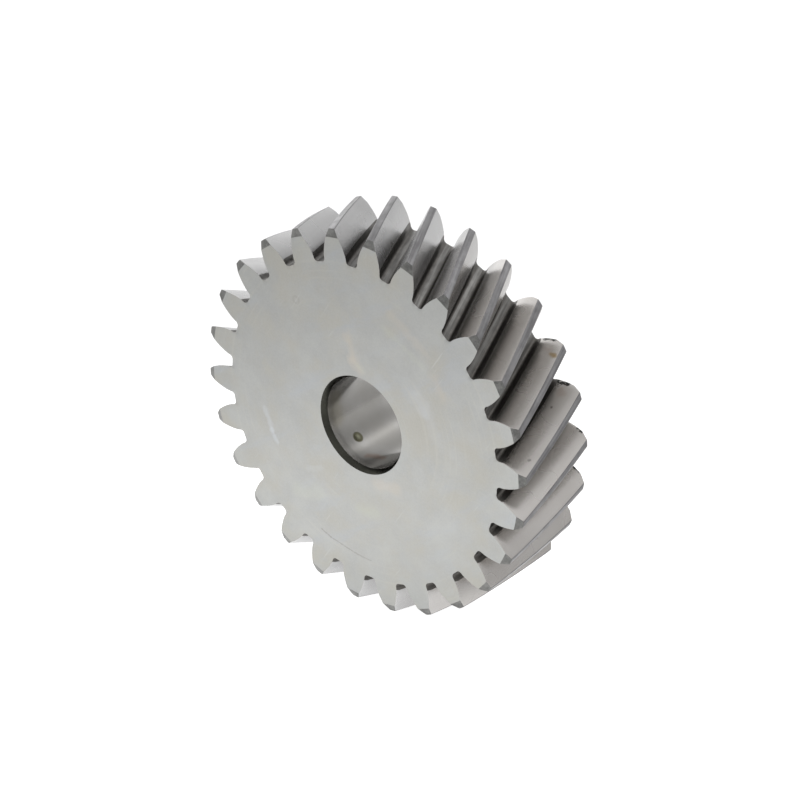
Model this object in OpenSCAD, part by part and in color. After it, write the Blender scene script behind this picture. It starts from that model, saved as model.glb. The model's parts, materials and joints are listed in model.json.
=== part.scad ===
// Helical gear with a plain bore and flat faces, machined from one piece of steel.
// The bore axis lies along Y and the front face looks along -Y. The origin is on the
// bore axis, half way between the two faces.

/* [Teeth] */
// Number of teeth
teeth = 26; // [22:1:32]
// Normal module, the tooth size measured square to the helix
normal_module = 4; // [3:0.25:5]
// Normal pressure angle in degrees
pressure_angle = 20; // [18:0.5:22]
// Left-hand helix angle at the pitch circle in degrees
helix_angle = 26; // [15:0.5:30]
// Height of a tooth above the pitch circle, in modules
addendum_factor = 1.25; // [1:0.05:1.3]
// Depth of a gap below the pitch circle, in modules
dedendum_factor = 1.35; // [1.25:0.05:1.4]
// Radius at the foot of each flank, in modules
foot_radius_factor = 0.32; // [0.2:0.02:0.36]
// How far the top tooth leans from the vertical at the front face, in degrees
top_tooth_lean = 3.5; // [0:0.1:13]

/* [Blank] */
// Width across the two flat faces
face_width = 30.5; // [24:0.5:40]
// How far down each tooth the end chamfer reaches
tip_chamfer_height = 2.4; // [1:0.1:3]
// How far along each tooth the end chamfer reaches
tip_chamfer_length = 0.9; // [0.4:0.1:2]

/* [Bore] */
// Diameter of the bore
bore_d = 30; // [16:0.5:40]
// Length of the lead-in chamfer at the front end of the bore
front_chamfer_length = 1.9; // [0.5:0.1:3]
// Angle between the front chamfer and the bore wall in degrees
front_chamfer_angle = 30; // [15:5:45]
// Length of the lead-in chamfer at the rear end of the bore
rear_chamfer_length = 2.8; // [0.5:0.1:4]
// Angle between the rear chamfer and the bore wall in degrees
rear_chamfer_angle = 45; // [15:5:45]

/* [Hidden] */

$fn = 180;
flank_steps = 4;
foot_steps = 3;
helix_slices = 6;
cut_overlap = 1;

// Transverse gear geometry
transverse_angle = atan(tan(pressure_angle) / cos(helix_angle));
tooth_pitch = 360 / teeth;
pitch_r = teeth * normal_module / (2 * cos(helix_angle));
base_r = pitch_r * cos(transverse_angle);
tip_r = pitch_r + addendum_factor * normal_module;
root_r = pitch_r - dedendum_factor * normal_module;
helix_turn = face_width * tan(helix_angle) / pitch_r * 180 / PI;

// The foot radius touches the root circle and the radial line at the end of the flank
foot_r = foot_radius_factor * normal_module;
foot_centre_r = root_r + foot_r;
foot_lean = asin(foot_r / foot_centre_r);
flank_end_r = max(base_r, foot_centre_r * cos(foot_lean));

bore_r = bore_d / 2;
half_width = face_width / 2;

function polar(r, angle) = [r * cos(angle), r * sin(angle)];
function mirrored_if(side, point) = [point[0], side * point[1]];
function involute(angle) = tan(angle) * 180 / PI - angle;

// Half the angle that a tooth takes up at radius r
function half_angle(r) =
    tooth_pitch / 4 + involute(transverse_angle) - involute(acos(min(1, base_r / r)));

// Point on a foot radius: step 0 is on the root circle, the last step on the flank
function foot_point(step) =
    let (centre_angle = half_angle(flank_end_r) + foot_lean,
         direction = centre_angle + 180 + (90 - foot_lean) * step / foot_steps)
    polar(foot_centre_r, centre_angle) + polar(foot_r, direction);

// Point on a flank: step 0 is at its end near the root, the last step at the tip
function flank_point(step) =
    let (r = flank_end_r + (tip_r - flank_end_r) * step / flank_steps)
    polar(r, half_angle(r));

// One side of a tooth from root to tip, and the whole tooth from root to root
half_tooth = concat([for (step = [0:foot_steps]) foot_point(step)],
                    [for (step = [1:flank_steps]) flank_point(step)]);
tooth_outline = concat([for (i = [0:len(half_tooth) - 1]) mirrored_if(-1, half_tooth[i])],
                       [for (i = [len(half_tooth) - 1:-1:0]) half_tooth[i]]);

function turned(point, angle) =
    [point[0] * cos(angle) - point[1] * sin(angle), point[0] * sin(angle) + point[1] * cos(angle)];

// All teeth in the transverse plane, with the first tooth on the X axis
module tooth_section() {
    polygon([for (i = [0:teeth - 1]) for (point = tooth_outline) turned(point, i * tooth_pitch)]);
}

// Teeth wound into a left-hand helix, with the axis along Z and the front face on top
module toothed_block() {
    rotate([0, 0, 90 - top_tooth_lean + helix_turn])
        linear_extrude(height = face_width, twist = helix_turn, slices = helix_slices, center = true)
            tooth_section();
}

// Double cone whose slopes cut the end chamfers on the tooth tips
module chamfer_envelope() {
    chamfer_start_r = tip_r - tip_chamfer_height;
    slope = tip_chamfer_length / tip_chamfer_height;
    outer_r = tip_r + cut_overlap;
    middle_h = half_width + chamfer_start_r * slope;
    outer_h = half_width - (outer_r - chamfer_start_r) * slope;
    rotate_extrude()
        polygon([[0, -middle_h], [outer_r, -outer_h], [outer_r, outer_h], [0, middle_h]]);
}

// Bore with its two lead-in chamfers, as a cutter that passes both faces, the front one on top
module bore_cutter() {
    end_h = half_width + cut_overlap;
    front_r = bore_r + (front_chamfer_length + cut_overlap) * tan(front_chamfer_angle);
    rear_r = bore_r + (rear_chamfer_length + cut_overlap) * tan(rear_chamfer_angle);
    rotate_extrude()
        polygon([[0, -end_h], [rear_r, -end_h], [bore_r, rear_chamfer_length - half_width],
                 [bore_r, half_width - front_chamfer_length], [front_r, end_h], [0, end_h]]);
}

module helical_gear() {
    color([0.68, 0.68, 0.66])
        rotate([90, 0, 0])
            difference() {
                intersection() {
                    toothed_block();
                    chamfer_envelope();
                }
                bore_cutter();
            }
}

helical_gear();
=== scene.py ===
"""Looks of the helical gear: a fine gear mesh in place of the CAD node, steel finishes and a studio."""

import json
import math

import bmesh
import bpy
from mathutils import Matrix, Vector


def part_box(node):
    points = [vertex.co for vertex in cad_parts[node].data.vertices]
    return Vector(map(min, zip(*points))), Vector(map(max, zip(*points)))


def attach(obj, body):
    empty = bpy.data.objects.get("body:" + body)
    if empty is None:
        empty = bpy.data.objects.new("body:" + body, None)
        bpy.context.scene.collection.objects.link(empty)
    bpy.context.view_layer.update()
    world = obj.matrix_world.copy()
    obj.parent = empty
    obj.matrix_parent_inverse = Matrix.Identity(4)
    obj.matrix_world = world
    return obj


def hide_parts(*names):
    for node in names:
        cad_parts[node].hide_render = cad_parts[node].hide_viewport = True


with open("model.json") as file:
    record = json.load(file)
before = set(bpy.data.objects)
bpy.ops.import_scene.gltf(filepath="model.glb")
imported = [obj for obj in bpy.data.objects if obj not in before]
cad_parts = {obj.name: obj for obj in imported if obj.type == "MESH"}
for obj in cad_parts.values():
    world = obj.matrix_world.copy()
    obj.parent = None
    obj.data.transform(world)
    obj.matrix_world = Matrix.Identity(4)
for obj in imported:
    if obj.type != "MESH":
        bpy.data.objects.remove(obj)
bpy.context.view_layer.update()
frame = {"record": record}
BOX_LOW, BOX_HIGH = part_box("helical_gear")

MM = 0.001

# Gear design, in metres and radians. The frame gives the sizes over all; the rest is the tooth design.
TEETH = 26
PRESSURE_ANGLE = math.radians(20)
HELIX_ANGLE = math.radians(26)
ADDENDUM = 1.25
DEDENDUM = 1.35
FOOT_RADIUS = 0.32
TOP_TOOTH_LEAN = math.radians(3.5)
TIP_CHAMFER_HEIGHT = 2.4 * MM
TIP_CHAMFER_LENGTH = 0.9 * MM
FRONT_CHAMFER_ANGLE = math.radians(30)
REAR_CHAMFER_ANGLE = math.radians(45)
# How far the edges are rounded: the long ones of the tooth tips, and all others
TIP_EDGE_BREAK = 0.2 * MM
EDGE_BREAK = 0.07 * MM
# An edge that turns less than this is smooth, and one shorter than this is removed
SMOOTH_TURN = math.radians(17)
SHORTEST_EDGE = 0.001 * MM

BORE = next(m for m in frame["record"]["mounts"] if m["name"] == "bore")
BORE_R = BORE["dims"]["r_mm"] * MM
WALL_FRONT = BORE["pos_m"][1] - BORE["dims"]["length_mm"] * MM / 2
WALL_REAR = BORE["pos_m"][1] + BORE["dims"]["length_mm"] * MM / 2
TIP_R = (BOX_HIGH[2] - BOX_LOW[2]) / 2
HALF_WIDTH = (BOX_HIGH[1] - BOX_LOW[1]) / 2

MODULE = TIP_R / (TEETH / (2 * math.cos(HELIX_ANGLE)) + ADDENDUM)
PITCH_R = TIP_R - ADDENDUM * MODULE
ROOT_R = PITCH_R - DEDENDUM * MODULE
TRANSVERSE_ANGLE = math.atan(math.tan(PRESSURE_ANGLE) / math.cos(HELIX_ANGLE))
BASE_R = PITCH_R * math.cos(TRANSVERSE_ANGLE)
TOOTH_PITCH = 2 * math.pi / TEETH
HELIX_TURN = 2 * HALF_WIDTH * math.tan(HELIX_ANGLE) / PITCH_R
TURN_PER_METRE = HELIX_TURN / (2 * HALF_WIDTH)
# Radii on the faces: where the mesh turns from teeth to rings, and at the mouths of the bore
FACE_RIM_R = ROOT_R - 1.5 * MM
FRONT_MOUTH_R = BORE_R + (HALF_WIDTH + WALL_FRONT) * math.tan(FRONT_CHAMFER_ANGLE)
REAR_MOUTH_R = BORE_R + (HALF_WIDTH - WALL_REAR) * math.tan(REAR_CHAMFER_ANGLE)

# Mesh fineness: steps round a tooth, from face to face, and across a rounded edge
LAND_STEPS = 2
FOOT_STEPS = 7
FLANK_STEPS = 14
TIP_STEPS = 3
CHAMFER_STEPS = 3
HELIX_STEPS = 30
BORE_STEPS = 8
TIP_EDGE_SEGMENTS = 4
EDGE_SEGMENTS = 2
# Steps at the bottom of each flank that the grinding wheel doesn't reach
UNGROUND_STEPS = 2

# Finishes, in the order of the gear's material slots
FACE, FLANK, FOOT, LAND, TIP, TIP_CHAMFER, BORE_CHAMFER, BORE_WALL = range(8)


# ---------------------------------------------------------------- tooth form


def involute(angle):
    return math.tan(angle) - angle


def half_angle(r):
    """Half the angle that a tooth takes up at radius r."""
    slope = math.acos(min(1.0, BASE_R / r))
    return TOOTH_PITCH / 4 + involute(TRANSVERSE_ANGLE) - involute(slope)


def tooth_side(top_r):
    """One side of a tooth from the root up to top_r, as (radius, angle from the tooth's middle, zone of
    the strip that starts there)."""
    foot_r = FOOT_RADIUS * MODULE
    centre_r = ROOT_R + foot_r
    lean = math.asin(foot_r / centre_r)
    flank_end_r = max(BASE_R, centre_r * math.cos(lean))
    centre_angle = half_angle(flank_end_r) + lean
    points = []
    for step in range(FOOT_STEPS):
        direction = centre_angle + math.pi + (math.pi / 2 - lean) * step / FOOT_STEPS
        x = centre_r * math.cos(centre_angle) + foot_r * math.cos(direction)
        z = centre_r * math.sin(centre_angle) + foot_r * math.sin(direction)
        points.append((math.hypot(x, z), math.atan2(z, x), FOOT))
    for step in range(FLANK_STEPS + 1):
        r = flank_end_r + (top_r - flank_end_r) * step / FLANK_STEPS
        points.append((r, half_angle(r), FOOT if step < UNGROUND_STEPS else FLANK))
    return points


def tooth_outline(top_r):
    """A whole pitch of the outline, from the middle of one gap to the middle of the next, as (radius,
    angle, zone of the strip that starts there)."""
    side = tooth_side(top_r)
    root_angle = side[0][1]
    points = []
    for step in range(LAND_STEPS):
        angle = -TOOTH_PITCH / 2 + (TOOTH_PITCH / 2 - root_angle) * step / LAND_STEPS
        points.append((ROOT_R, angle, LAND))
    points += [(r, -angle, zone) for r, angle, zone in side[:-1]]
    tip_r, tip_angle, _ = side[-1]
    for step in range(TIP_STEPS):
        points.append((tip_r, tip_angle * (2 * step / TIP_STEPS - 1), TIP))
    rising_zones = [zone for _, _, zone in side[:-1]]
    falling = list(zip(reversed(side[1:]), reversed(rising_zones)))
    points += [(r, angle, zone) for (r, angle, _), zone in falling]
    for step in range(LAND_STEPS):
        angle = root_angle + (TOOTH_PITCH / 2 - root_angle) * step / LAND_STEPS
        points.append((ROOT_R, angle, LAND))
    return points


# ---------------------------------------------------------------- gear mesh


def toothed_loop(y, top_r):
    """The gear's outline at y, with the tooth tips cut down to top_r."""
    turn = math.pi / 2 - TOP_TOOTH_LEAN + HELIX_TURN * (y + HALF_WIDTH) / (2 * HALF_WIDTH)
    tooth = tooth_outline(top_r)
    loop = []
    for index in range(TEETH):
        for r, angle, _ in tooth:
            a = turn + index * TOOTH_PITCH + angle
            loop.append((r * math.cos(a), y, r * math.sin(a)))
    return loop


def round_loop(y, r, count, turn):
    """A plain circle at y with as many points as the outline."""
    start = math.pi / 2 - TOP_TOOTH_LEAN - TOOTH_PITCH / 2 + turn
    loop = []
    for index in range(count):
        a = start + 2 * math.pi * index / count
        loop.append((r * math.cos(a), y, r * math.sin(a)))
    return loop


def outline_stations():
    """(y, top radius, chamfered) of each outline from the front face to the rear face."""
    stations = []
    for step in range(CHAMFER_STEPS):
        along = step / CHAMFER_STEPS
        top_r = TIP_R - TIP_CHAMFER_HEIGHT * (1 - along)
        stations.append((-HALF_WIDTH + TIP_CHAMFER_LENGTH * along, top_r, True))
    full = HALF_WIDTH - TIP_CHAMFER_LENGTH
    for step in range(HELIX_STEPS):
        stations.append((-full + 2 * full * step / HELIX_STEPS, TIP_R, False))
    for step in range(CHAMFER_STEPS):
        along = step / CHAMFER_STEPS
        top_r = TIP_R - TIP_CHAMFER_HEIGHT * along
        stations.append((full + TIP_CHAMFER_LENGTH * along, top_r, True))
    stations.append((HALF_WIDTH, TIP_R - TIP_CHAMFER_HEIGHT, True))
    return stations


def gear_sections():
    """The closed run of loops over the outside, the rear face, the bore and the front face, each with
    the kind of band that follows it: a zone, or teeth whose strips have their own zones."""
    tooth = tooth_outline(TIP_R)
    count = TEETH * len(tooth)
    web_r = (FACE_RIM_R + REAR_MOUTH_R) / 2
    stations = outline_stations()
    sections = []
    for y, top_r, chamfered in stations[:-1]:
        sections.append((toothed_loop(y, top_r), "chamfered teeth" if chamfered else "teeth"))
    y, top_r, _ = stations[-1]
    sections.append((toothed_loop(y, top_r), FACE))
    sections.append((round_loop(HALF_WIDTH, FACE_RIM_R, count, HELIX_TURN), FACE))
    sections.append((round_loop(HALF_WIDTH, web_r, count, HELIX_TURN / 2), FACE))
    sections.append((round_loop(HALF_WIDTH, REAR_MOUTH_R, count, 0), BORE_WALL))
    for step in range(BORE_STEPS):
        y = WALL_REAR + (WALL_FRONT - WALL_REAR) * step / BORE_STEPS
        sections.append((round_loop(y, BORE_R, count, 0), BORE_WALL))
    sections.append((round_loop(WALL_FRONT, BORE_R, count, 0), BORE_CHAMFER))
    sections.append((round_loop(-HALF_WIDTH, FRONT_MOUTH_R, count, 0), FACE))
    sections.append((round_loop(-HALF_WIDTH, web_r, count, 0), FACE))
    sections.append((round_loop(-HALF_WIDTH, FACE_RIM_R, count, 0), FACE))
    return sections


def band_zone(kind, strip_zone):
    """Zone of one quad, from its band and its strip."""
    if kind == "teeth":
        return strip_zone
    if kind == "chamfered teeth":
        return TIP_CHAMFER if strip_zone == TIP else strip_zone
    return kind


def bevel(mesh_data, edges, offset, segments, material=-1):
    """Rounds edges, with the given zone or, for -1, that of the faces beside them."""
    bmesh.ops.bevel(mesh_data, geom=edges, affect="EDGES", offset=offset, offset_type="OFFSET",
                    segments=segments, profile=0.5, clamp_overlap=True, material=material)


def sort_faces(mesh_data):
    """Puts the faces in the same order on each run, since the bevels don't."""
    mesh_data.verts.index_update()
    by_corners = sorted(mesh_data.faces, key=lambda face: sorted(vert.index for vert in face.verts))
    for index, face in enumerate(by_corners):
        face.index = index
    mesh_data.faces.sort()


def break_edges(mesh_data):
    """Rounds the long edges of the tooth tips, then every other sharp edge."""
    tips = [e for e in mesh_data.edges if {f.material_index for f in e.link_faces} == {FLANK, TIP}]
    bevel(mesh_data, tips, TIP_EDGE_BREAK, TIP_EDGE_SEGMENTS, TIP)
    sharp = [e for e in mesh_data.edges if len(e.link_faces) == 2 and e.calc_face_angle() > SMOOTH_TURN]
    bevel(mesh_data, sharp, EDGE_BREAK, EDGE_SEGMENTS)
    bmesh.ops.dissolve_degenerate(mesh_data, dist=SHORTEST_EDGE, edges=mesh_data.edges)
    sort_faces(mesh_data)


def make_gear(materials):
    """One closed mesh: loops wound round the ring, joined by quads."""
    strip_zones = [zone for _, _, zone in tooth_outline(TIP_R)] * TEETH
    sections = gear_sections()
    mesh_data = bmesh.new()
    rings = [[mesh_data.verts.new(point) for point in loop] for loop, _ in sections]
    for index, (_, kind) in enumerate(sections):
        here = rings[index]
        there = rings[(index + 1) % len(rings)]
        for i, strip_zone in enumerate(strip_zones):
            k = (i + 1) % len(here)
            face = mesh_data.faces.new((here[i], here[k], there[k], there[i]))
            face.material_index = band_zone(kind, strip_zone)
    bmesh.ops.recalc_face_normals(mesh_data, faces=mesh_data.faces)
    break_edges(mesh_data)
    for face in mesh_data.faces:
        face.smooth = True
    mesh = bpy.data.meshes.new("ground_gear")
    mesh_data.to_mesh(mesh)
    mesh_data.free()
    for material in materials:
        mesh.materials.append(material)
    gear = bpy.data.objects.new("ground_gear", mesh)
    bpy.context.collection.objects.link(gear)
    weights = gear.modifiers.new("face weighted normals", "WEIGHTED_NORMAL")
    weights.mode = "FACE_AREA"
    weights.keep_sharp = True
    return gear


# ---------------------------------------------------------------- materials


def in_metres(point):
    """A point given in millimetres."""
    return Vector(point) * MM


def front(x, z):
    """A point on the front face, from millimetres right of the bore axis and above it."""
    return Vector((x * MM, -HALF_WIDTH, z * MM))


class Finish:
    """A metal finish built from nodes, in the gear's own coordinates."""

    def __init__(self, name):
        self.material = bpy.data.materials.new(name)
        self.material.use_nodes = True
        self.tree = self.material.node_tree
        self.shader = self.tree.nodes["Principled BSDF"]
        self.shader.inputs["Metallic"].default_value = 1.0
        self.place = self.add("ShaderNodeTexCoord").outputs["Object"]

    def add(self, kind, **settings):
        node = self.tree.nodes.new(kind)
        for key, value in settings.items():
            setattr(node, key, value)
        return node

    def wire(self, source, node, socket):
        """Links an output to a socket, or sets the socket to a value."""
        target = node.inputs[socket]
        if hasattr(source, "is_linked"):
            self.tree.links.new(source, target)
        else:
            target.default_value = source

    def math(self, operation, a, b=0.0, clamp=False):
        node = self.add("ShaderNodeMath", operation=operation, use_clamp=clamp)
        self.wire(a, node, 0)
        self.wire(b, node, 1)
        return node.outputs[0]

    def vector(self, operation, a, b, result="Vector"):
        node = self.add("ShaderNodeVectorMath", operation=operation)
        self.wire(a, node, 0)
        self.wire(b, node, 1)
        return node.outputs[result]

    def direction(self, vector):
        """A fixed direction, as an output that can be linked."""
        return self.vector("ADD", vector, (0, 0, 0))

    def stretch(self, scale, turn):
        """The place, turned and then scaled along each axis: a scale under 1 draws the pattern out."""
        turned = self.add("ShaderNodeMapping")
        turned.inputs["Rotation"].default_value = turn
        self.wire(self.place, turned, "Vector")
        return self.vector("MULTIPLY", turned.outputs[0], scale)

    def along_teeth(self, scale):
        """The place with the helix unwound, so that teeth run along Y, then scaled along each axis."""
        unwound = self.add("ShaderNodeVectorRotate", rotation_type="Y_AXIS")
        self.wire(self.place, unwound, "Vector")
        self.wire(self.math("MULTIPLY", self.axis("Y"), TURN_PER_METRE), unwound, "Angle")
        return self.vector("MULTIPLY", unwound.outputs[0], scale)

    def across_teeth(self):
        """The direction that runs up each flank, square to the teeth."""
        turn = self.vector("CROSS_PRODUCT", self.place, (0, TURN_PER_METRE, 0))
        along = self.vector("ADD", turn, (0, 1, 0))
        return self.vector("CROSS_PRODUCT", self.add("ShaderNodeNewGeometry").outputs["Normal"], along)

    def noise(self, scale, detail=3.0, rough=0.55, source=None, lines=None):
        """Noise over the surface, or along one value when lines is given."""
        node = self.add("ShaderNodeTexNoise", noise_dimensions="3D" if lines is None else "1D")
        node.inputs["Scale"].default_value = scale
        node.inputs["Detail"].default_value = detail
        node.inputs["Roughness"].default_value = rough
        if lines is None:
            self.wire(source or self.place, node, "Vector")
        else:
            self.wire(lines, node, "W")
        return node.outputs["Fac"]

    def spread(self, value, low, high, to_low=0.0, to_high=1.0):
        """Eases from to_low to to_high while the value goes from low to high."""
        node = self.add("ShaderNodeMapRange", interpolation_type="SMOOTHSTEP")
        node.inputs["From Min"].default_value = low
        node.inputs["From Max"].default_value = high
        node.inputs["To Min"].default_value = to_low
        node.inputs["To Max"].default_value = to_high
        self.wire(value, node, "Value")
        return node.outputs["Result"]

    def mix(self, amount, first, second):
        node = self.add("ShaderNodeMix", data_type="RGBA")
        self.wire(amount, node, 0)
        self.wire(first if hasattr(first, "is_linked") else (*first, 1), node, 6)
        self.wire(second if hasattr(second, "is_linked") else (*second, 1), node, 7)
        return node.outputs[2]

    def axis(self, name):
        split = self.add("ShaderNodeSeparateXYZ")
        self.wire(self.place, split, 0)
        return split.outputs[name]

    def radius(self):
        """Distance from the bore axis."""
        return self.vector("LENGTH", self.vector("MULTIPLY", self.place, (1, 0, 1)), (0, 0, 0), "Value")

    def distance(self, point):
        return self.vector("DISTANCE", self.place, point, "Value")

    def stretch_distance(self, start, end):
        """Distance from the straight stretch between two points."""
        whole = end - start
        offset = self.vector("SUBTRACT", self.place, start)
        share = self.vector("DOT_PRODUCT", offset, whole / whole.length_squared, "Value")
        reach = self.add("ShaderNodeVectorMath", operation="SCALE")
        self.wire(whole, reach, 0)
        clamped_share = self.math("ADD", share, 0.0, clamp=True)
        self.wire(clamped_share, reach, "Scale")
        return self.vector("DISTANCE", offset, reach.outputs[0], "Value")

    def rub(self, start, end, width, strength):
        """A soft mark along a stretch, with ragged edges."""
        fray = 0.35 * width
        ragged = self.spread(self.noise(1 / (2 * width), 3, 0.6), 0.3, 0.7, -fray, fray)
        distance = self.math("ADD", self.stretch_distance(start, end), ragged)
        return self.spread(distance, 0.0, width, strength, 0.0)

    def colour(self, source):
        self.wire(source, self.shader, "Base Color")

    def roughness(self, source):
        self.wire(source, self.shader, "Roughness")

    def marks(self, across, strength):
        """Fine marks that blur reflections in the direction across them."""
        self.shader.inputs["Anisotropic"].default_value = strength
        self.wire(across, self.shader, "Tangent")

    def bump(self, height, depth):
        node = self.add("ShaderNodeBump")
        node.inputs["Distance"].default_value = depth
        self.wire(height, node, "Height")
        self.wire(node.outputs[0], self.shader, "Normal")


# How strongly the grinding marks of the flanks and of the bore wall blur reflections across them
FLANK_MARKS = 0.78
BORE_MARKS = 0.9

# Marks on the front face. Their places, like those of all marks below, were read off the photo and
# converted to millimetres: start and end from the bore axis, width, strength, colour
PALE_BLUE = (0.42, 0.44, 0.475)
STRAW = (0.42, 0.372, 0.315)
OLIVE = (0.37, 0.38, 0.325)
GREY = (0.20, 0.19, 0.18)
FACE_RUBS = (
    ((-38.6, -8.5), (-36.4, -15.0), 1.6, 0.35, PALE_BLUE),
    ((-36.4, -15.0), (-34.2, -18.5), 1.2, 0.4, PALE_BLUE),
    ((-21.5, -23.3), (-16.5, -20.9), 1.8, 0.18, PALE_BLUE),
    ((26.0, 14.0), (29.0, 8.0), 4.0, 0.12, PALE_BLUE),
    ((-4.6, 28.6), (-2.6, 22.0), 3.2, 0.42, STRAW),
    ((-2.4, 21.6), (0.4, 18.4), 3.0, 0.36, STRAW),
    ((-0.6, 19.9), (1.0, 18.9), 1.8, 0.36, OLIVE),
    ((21.4, 17.6), (24.4, 14.2), 4.0, 0.22, PALE_BLUE),
    ((12.0, 42.0), (25.0, 33.0), 2.4, 0.20, STRAW),
    ((9.0, 36.5), (24.0, 28.5), 1.6, 0.20, OLIVE),
    ((29.0, 26.0), (32.0, 20.5), 3.0, 0.28, STRAW),
    ((7.5, -18.7), (13.0, -17.0), 3.5, 0.3, STRAW),
    ((-26.0, -33.0), (-18.0, -31.0), 4.0, 0.22, OLIVE),
    ((-1.0, -30.0), (6.0, -29.0), 3.5, 0.3, OLIVE),
    ((-16.2, -43.0), (-12.5, -44.4), 0.45, 0.6, GREY),
    ((-12.5, -44.4), (-1.5, -46.3), 0.4, 0.55, GREY),
    ((-1.5, -46.3), (3.8, -46.4), 0.35, 0.45, GREY),
)
# Middle and radius of the small grey ring
GREY_RING = front(-25.4, 33.9)
GREY_RING_R = 1.1 * MM


def face_rubs(finish, colour):
    """The marks on the front face, and the small grey ring."""
    for start, end, width, strength, tint in FACE_RUBS:
        colour = finish.mix(finish.rub(front(*start), front(*end), width * MM, strength), colour, tint)
    rim = finish.math("ABSOLUTE", finish.math("SUBTRACT", finish.distance(GREY_RING), GREY_RING_R))
    return finish.mix(finish.spread(rim, 0.1 * MM, 0.7 * MM, 0.16, 0.0), colour, GREY)


def face_lines(finish, colour):
    """Faint turning arcs round the bore, and slanting hairlines, both in patches."""
    arcs = finish.noise(520, 4, 0.75, lines=finish.radius())
    arc_patches = finish.spread(finish.noise(38, 2, 0.6), 0.45, 0.62, 0.0, 0.3)
    arc = finish.math("MULTIPLY", finish.spread(arcs, 0.5, 0.68), arc_patches)
    colour = finish.mix(arc, colour, (0.375, 0.367, 0.335))
    hairs = finish.noise(1100, 2, 0.5, finish.stretch((1, 1, 0.06), (0, math.radians(-32), 0)))
    hair_patches = finish.spread(finish.noise(60, 1), 0.45, 0.6)
    hair = finish.math("MULTIPLY", finish.spread(hairs, 0.66, 0.78, 0.0, 0.35), hair_patches)
    return finish.mix(hair, colour, (0.43, 0.43, 0.415))


def turned_face():
    """Fine-turned faces: cloudy under a wiped film of oil, with faint lines, and rubs on the front."""
    finish = Finish("turned_face")
    clouds = finish.noise(72, 9, 0.73)
    film = finish.noise(60, 5, 0.62)
    streaks = finish.noise(75, 4, 0.6, finish.stretch((0.4, 1, 1.5), (0, math.radians(35), 0)))
    colour = finish.mix(finish.spread(clouds, 0.3, 0.7), (0.291, 0.295, 0.288), (0.325, 0.329, 0.320))
    colour = finish.mix(finish.spread(film, 0.42, 0.66, 0.0, 0.75), colour, (0.327, 0.318, 0.286))
    colour = finish.mix(finish.spread(streaks, 0.52, 0.75, 0.0, 0.75), colour, (0.305, 0.319, 0.336))
    grain = finish.noise(1500, 3, 0.7)
    colour = finish.mix(finish.spread(grain, 0.35, 0.65, 0.0, 0.12), colour, (0.41, 0.41, 0.395))
    finish.colour(face_lines(finish, face_rubs(finish, colour)))
    rings = finish.noise(5200, 2, 0.6, lines=finish.radius())
    finish.roughness(finish.math("ADD", finish.spread(film, 0.3, 0.7, 0.32, 0.41),
                                 finish.spread(rings, 0.3, 0.7, -0.02, 0.02)))
    finish.bump(finish.math("ADD", rings, finish.noise(2600, 2)), 0.0015 * MM)
    return finish.material


# Small marks on the flanks, in millimetres: start and end, width, strength, colour
OIL_STAIN = (0.27, 0.19, 0.085)
REDDISH = (0.34, 0.27, 0.235)
SOOT = (0.10, 0.095, 0.09)
FLANK_RUBS = (
    ((51.2, 10.3, 31.9), (53.0, 10.3, 32.0), 1.3, 0.85, OIL_STAIN),
    ((48.6, 11.8, 31.6), (49.8, 11.6, 31.8), 1.8, 0.3, REDDISH),
    ((53.8, 12.4, 19.8), (55.0, 11.4, 19.4), 2.0, 0.4, REDDISH),
    ((55.3, 6.2, 17.2), (55.4, 6.1, 17.2), 0.6, 0.7, SOOT),
    ((60.3, -10.2, 8.4), (60.4, -10.0, 8.5), 0.7, 0.45, SOOT),
    ((57.0, -6.0, 13.0), (57.1, -6.0, 13.0), 0.35, 0.6, SOOT),
)
# Dark, bumpy stretches of the rear edge: start and end, width
DARK_EDGE_STRETCHES = (
    ((45.6, 15.1, 32.7), (49.2, 15.1, 33.8), 0.8),
    ((50.8, 14.8, 20.6), (54.6, 14.6, 20.9), 1.2),
    ((58.6, 15.2, 7.2), (60.2, 14.9, 6.6), 0.7),
    ((57.6, 15.2, -6.3), (59.4, 15.2, -7.2), 0.6),
)


def dark_edge_share(finish):
    """How much each place belongs to a dark, bumpy stretch of the rear edge."""
    dark_stretch = 0.0
    for start, end, width in DARK_EDGE_STRETCHES:
        stretch = finish.rub(in_metres(start), in_metres(end), width * MM, 1.0)
        dark_stretch = finish.math("ADD", dark_stretch, finish.spread(stretch, 0.1, 0.4))
    return dark_stretch


def ground_flank():
    """Ground tooth flanks: bright, with fine marks along the teeth, painted warm light towards the
    right, one dried drop of oil, a few specks, and dark, bumpy stretches of the rear edge."""
    finish = Finish("ground_flank")
    film = finish.noise(70, 4)
    grinding = finish.noise(700, 3, 0.6, finish.along_teeth((1, 0.03, 1)))
    tone = finish.math("ADD", finish.spread(film, 0.3, 0.7, -0.2, 0.5), grinding)
    tone = finish.spread(tone, 0.0, 1.2)
    plain_flank = finish.mix(tone, (0.400, 0.398, 0.398), (0.438, 0.437, 0.437))
    painted_warm_light = finish.mix(tone, (0.408, 0.391, 0.375), (0.446, 0.431, 0.416))
    # Painted warm light: the flanks are tinted warmer towards the right side than on the left
    colour = finish.mix(finish.spread(finish.axis("X"), 8 * MM, 38 * MM), plain_flank, painted_warm_light)
    for start, end, width, strength, tint in FLANK_RUBS:
        rub = finish.rub(in_metres(start), in_metres(end), width * MM, strength)
        colour = finish.mix(rub, colour, tint)
    grit = finish.noise(900, 3, 0.65)
    dark_stretch = dark_edge_share(finish)
    # Near-black grit on the dark stretches of the rear edge
    dark_grit = finish.math("MULTIPLY", dark_stretch, finish.spread(grit, 0.41, 0.48), clamp=True)
    finish.colour(finish.mix(dark_grit, colour, (0.03, 0.03, 0.028)))
    finish.roughness(finish.spread(finish.noise(60, 2), 0.3, 0.7, 0.25, 0.28))
    finish.marks(finish.across_teeth(), FLANK_MARKS)
    finish.bump(finish.math("MULTIPLY", grit, dark_stretch), 0.15 * MM)
    return finish.material


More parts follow.
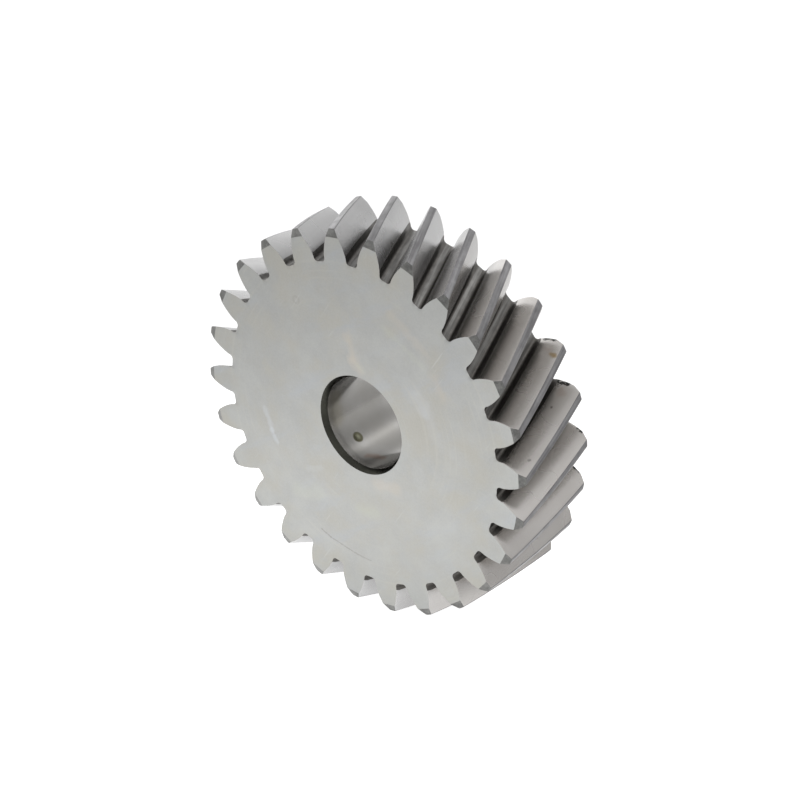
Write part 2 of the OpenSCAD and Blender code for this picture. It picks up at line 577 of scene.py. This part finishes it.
def hardened_skin(name, light, dark, roughness, streaked=0.4):
    """Steel as it comes from hardening: darker, rougher and patchy, with cutter marks along the
    teeth."""
    finish = Finish(name)
    patches = finish.noise(260, 4, 0.65)
    grain = finish.noise(2200, 2, 0.6)
    streaks = finish.noise(1100, 3, 0.6, finish.along_teeth((1, 0.06, 1)))
    tone = finish.math("ADD", finish.math("MULTIPLY", patches, 0.6 - streaked / 2),
                       finish.math("MULTIPLY", grain, 0.4 - streaked / 2))
    tone = finish.math("ADD", tone, finish.math("MULTIPLY", streaks, streaked))
    finish.colour(finish.mix(finish.spread(tone, 0.38, 0.62), dark, light))
    finish.roughness(finish.spread(finish.noise(420, 3), 0.3, 0.7, roughness - 0.05, roughness + 0.07))
    finish.bump(finish.noise(4200, 3), 0.003 * MM)
    return finish.material


# On the bore wall: the clinging drop of oil, a rusty film of it and an olive band with painted
# reflection from start to end, and how far the painted highlight at the front end reaches
OIL_DROP = in_metres((-9.38, -5.83, -11.70))
OIL_DROP_R = 1.75 * MM
RUSTY_FILM = (in_metres((-2.9, -8.6, -14.72)), in_metres((0.7, -6.2, -14.98)))
OLIVE_TINT_AND_PAINTED_REFLECTION = (in_metres((-14.4, -10.5, 3.0)), in_metres((-14.2, -9.5, -4.5)))
FRONT_HIGHLIGHT_LENGTH = 2.2 * MM


def oil_drop(finish, colour, across):
    """The clinging drop: oil tint, painted shade at the rim, a painted highlight in the middle. across
    is the distance from its middle.
    """
    # The oil's olive tint, darkened over the drop by painted shade
    body = finish.spread(across, OIL_DROP_R * 0.85, OIL_DROP_R * 1.15, 0.9, 0.0)
    colour = finish.mix(body, colour, (0.075, 0.072, 0.040))
    # Painted highlight in the middle of the drop
    centre = finish.spread(across, OIL_DROP_R * 0.2, OIL_DROP_R * 0.7, 0.8, 0.0)
    return finish.mix(centre, colour, (0.19, 0.19, 0.14))


def bored_wall():
    """Ground bore wall with marks that run round it, a painted highlight at the front end, a rusty film
    of oil, an olive band darkened by painted reflection, and one clinging drop of oil with painted
    shade and highlight."""
    finish = Finish("bored_wall")
    film = finish.noise(70, 4, 0.6)
    rings = finish.noise(3200, 2, lines=finish.axis("Y"))
    colour = finish.mix(finish.spread(film, 0.35, 0.65), (0.262, 0.257, 0.248), (0.235, 0.229, 0.217))
    # Painted highlight: the front end of the wall, next to the chamfer, is painted brighter
    painted_front_highlight = finish.spread(finish.axis("Y"), WALL_FRONT, WALL_FRONT + FRONT_HIGHLIGHT_LENGTH, 0.6, 0.0)
    colour = finish.mix(painted_front_highlight, colour, (0.50, 0.49, 0.475))
    # Olive tint and painted reflection: a darker band on the left near the front, for the far chamfer's
    # dark reflection
    colour = finish.mix(finish.rub(*OLIVE_TINT_AND_PAINTED_REFLECTION, 4.5 * MM, 0.6), colour, (0.225, 0.210, 0.170))
    colour = finish.mix(finish.rub(*RUSTY_FILM, 1.9 * MM, 0.6), colour, (0.215, 0.140, 0.105))
    across = finish.distance(OIL_DROP)
    finish.colour(oil_drop(finish, colour, across))
    finish.roughness(finish.spread(rings, 0.3, 0.7, 0.19, 0.22))
    finish.marks(finish.direction((0, 1, 0)), BORE_MARKS)
    lens = finish.spread(across, 0.0, OIL_DROP_R, 1.0, 0.0)
    finish.bump(finish.math("ADD", lens, finish.math("MULTIPLY", rings, 0.006)), 0.12 * MM)
    return finish.material


def gear_finishes():
    """The gear's materials, in the order of the zones."""
    return [
        turned_face(),
        ground_flank(),
        hardened_skin("tooth_foot", (0.124, 0.118, 0.110), (0.084, 0.080, 0.075), 0.42),
        hardened_skin("root_land", (0.166, 0.163, 0.157), (0.090, 0.087, 0.083), 0.34, 0.8),
        hardened_skin("tip_land", (0.204, 0.201, 0.205), (0.120, 0.118, 0.121), 0.34, 0.6),
        hardened_skin("tip_chamfer", (0.184, 0.184, 0.178), (0.110, 0.110, 0.106), 0.36, 0.0),
        hardened_skin("bore_chamfer", (0.044, 0.044, 0.037), (0.037, 0.037, 0.031), 0.30, 0.0),
        bored_wall(),
    ]


# ---------------------------------------------------------------- studio

# Soft boxes: azimuth and elevation in degrees, with 0, 0 in front of the gear and 90, 0 to its right;
# how tight the glow is; its strength. The first and the last three began as a least-squares fit of
# the light to the photo's tones, made by a scratch program. Then every strength and two of their
# places were changed, and the second to fourth were added.
SOFT_BOXES = (
    (180, 50, 12, 0.80),
    (171, 48, 90, 1.00),
    (80, 68, 14, 0.48),
    (228, 5, 20, 0.85),
    (270, 5, 3, 1.00),
    (143, 5, 14, 0.80),
    (45, 35, 12, 0.50),
)
TENT_LIGHT = 0.71
# The table's glow: strength, middle and radius
TABLE_GLOW = 0.95
TABLE_GLOW_AT = Vector((-0.02, -0.05, BOX_LOW[2]))
TABLE_GLOW_R = 0.092
TABLE_HALF_SIZE = 3.0


def direction_to(azimuth, elevation):
    """Unit vector from the gear's centre, from degrees."""
    turn = math.radians(azimuth)
    rise = math.radians(elevation)
    return Vector((math.sin(turn) * math.cos(rise), -math.cos(turn) * math.cos(rise), math.sin(rise)))


class Glow:
    """Adds and multiplies values in a node tree, for the lights."""

    def __init__(self, tree):
        self.tree = tree

    def node(self, kind, operation, a, b, result):
        node = self.tree.nodes.new(kind)
        node.operation = operation
        for index, source in enumerate((a, b)):
            if hasattr(source, "is_linked"):
                self.tree.links.new(source, node.inputs[index])
            else:
                node.inputs[index].default_value = source
        return node.outputs[result]

    def math(self, operation, a, b=0.0):
        return self.node("ShaderNodeMath", operation, a, b, 0)

    def vector(self, operation, a, b, result):
        return self.node("ShaderNodeVectorMath", operation, a, b, result)

    def spot(self, place, centre, radius):
        """A round soft spot: 1 at its centre, fading with distance."""
        away = self.vector("DISTANCE", place, centre, "Value")
        falloff = self.math("MULTIPLY", self.math("MULTIPLY", away, away), -0.5 / radius ** 2)
        return self.math("EXPONENT", falloff)


def make_floor():
    """A pale table that glows softly under the gear and in front of it, as a light table does."""
    mesh = bpy.data.meshes.new("floor")
    signs = [(-1, -1), (1, -1), (1, 1), (-1, 1)]
    corners = [(x * TABLE_HALF_SIZE, y * TABLE_HALF_SIZE, BOX_LOW[2]) for x, y in signs]
    mesh.from_pydata(corners, [], [(0, 1, 2, 3)])
    floor = bpy.data.objects.new("floor", mesh)
    bpy.context.collection.objects.link(floor)
    material = bpy.data.materials.new("pale_floor")
    material.use_nodes = True
    shader = material.node_tree.nodes["Principled BSDF"]
    shader.inputs["Base Color"].default_value = (0.96, 0.96, 0.96, 1)
    shader.inputs["Roughness"].default_value = 0.9
    glow = Glow(material.node_tree)
    place = material.node_tree.nodes.new("ShaderNodeNewGeometry").outputs["Position"]
    spot = glow.spot(place, TABLE_GLOW_AT, TABLE_GLOW_R)
    shader.inputs["Emission Color"].default_value = (1, 1, 1, 1)
    strength = glow.math("MULTIPLY", spot, TABLE_GLOW)
    material.node_tree.links.new(strength, shader.inputs["Emission Strength"])
    mesh.materials.append(material)


def make_tent():
    """An even light tent all round, with the soft boxes in it."""
    world = bpy.data.worlds.new("studio")
    world.use_nodes = True
    background = world.node_tree.nodes["Background"]
    background.inputs["Color"].default_value = (1, 1, 1, 1)
    glow = Glow(world.node_tree)
    toward = world.node_tree.nodes.new("ShaderNodeTexCoord").outputs["Generated"]
    light = TENT_LIGHT
    for azimuth, elevation, tightness, strength in SOFT_BOXES:
        facing = glow.vector("DOT_PRODUCT", toward, direction_to(azimuth, elevation), "Value")
        falloff = glow.math("MULTIPLY", glow.math("SUBTRACT", facing, 1.0), float(tightness))
        box = glow.math("MULTIPLY", glow.math("EXPONENT", falloff), strength)
        light = glow.math("ADD", box, light)
    world.node_tree.links.new(light, background.inputs["Strength"])
    bpy.context.scene.world = world


def make_camera():
    """A long lens from the photograph's side, a little off the gear's centre."""
    azimuth = 40.3
    elevation = 29.4
    distance = 1.0
    aim_right = 1.9 * MM
    aim_up = 1.9 * MM
    data = bpy.data.cameras.new("camera")
    data.sensor_width = 36
    data.lens = 148.4
    camera = bpy.data.objects.new("camera", data)
    back = direction_to(azimuth, elevation)
    right = direction_to(azimuth + 90, 0)
    up = back.cross(right)
    camera.location = back * distance + right * aim_right + up * aim_up
    camera.rotation_euler = back.to_track_quat("Z", "Y").to_euler()
    bpy.context.collection.objects.link(camera)
    bpy.context.scene.camera = camera


bpy.context.scene.view_settings.view_transform = "Standard"
make_camera()
gear = make_gear(gear_finishes())
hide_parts("helical_gear")
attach(gear, "root")
make_floor()
make_tent()
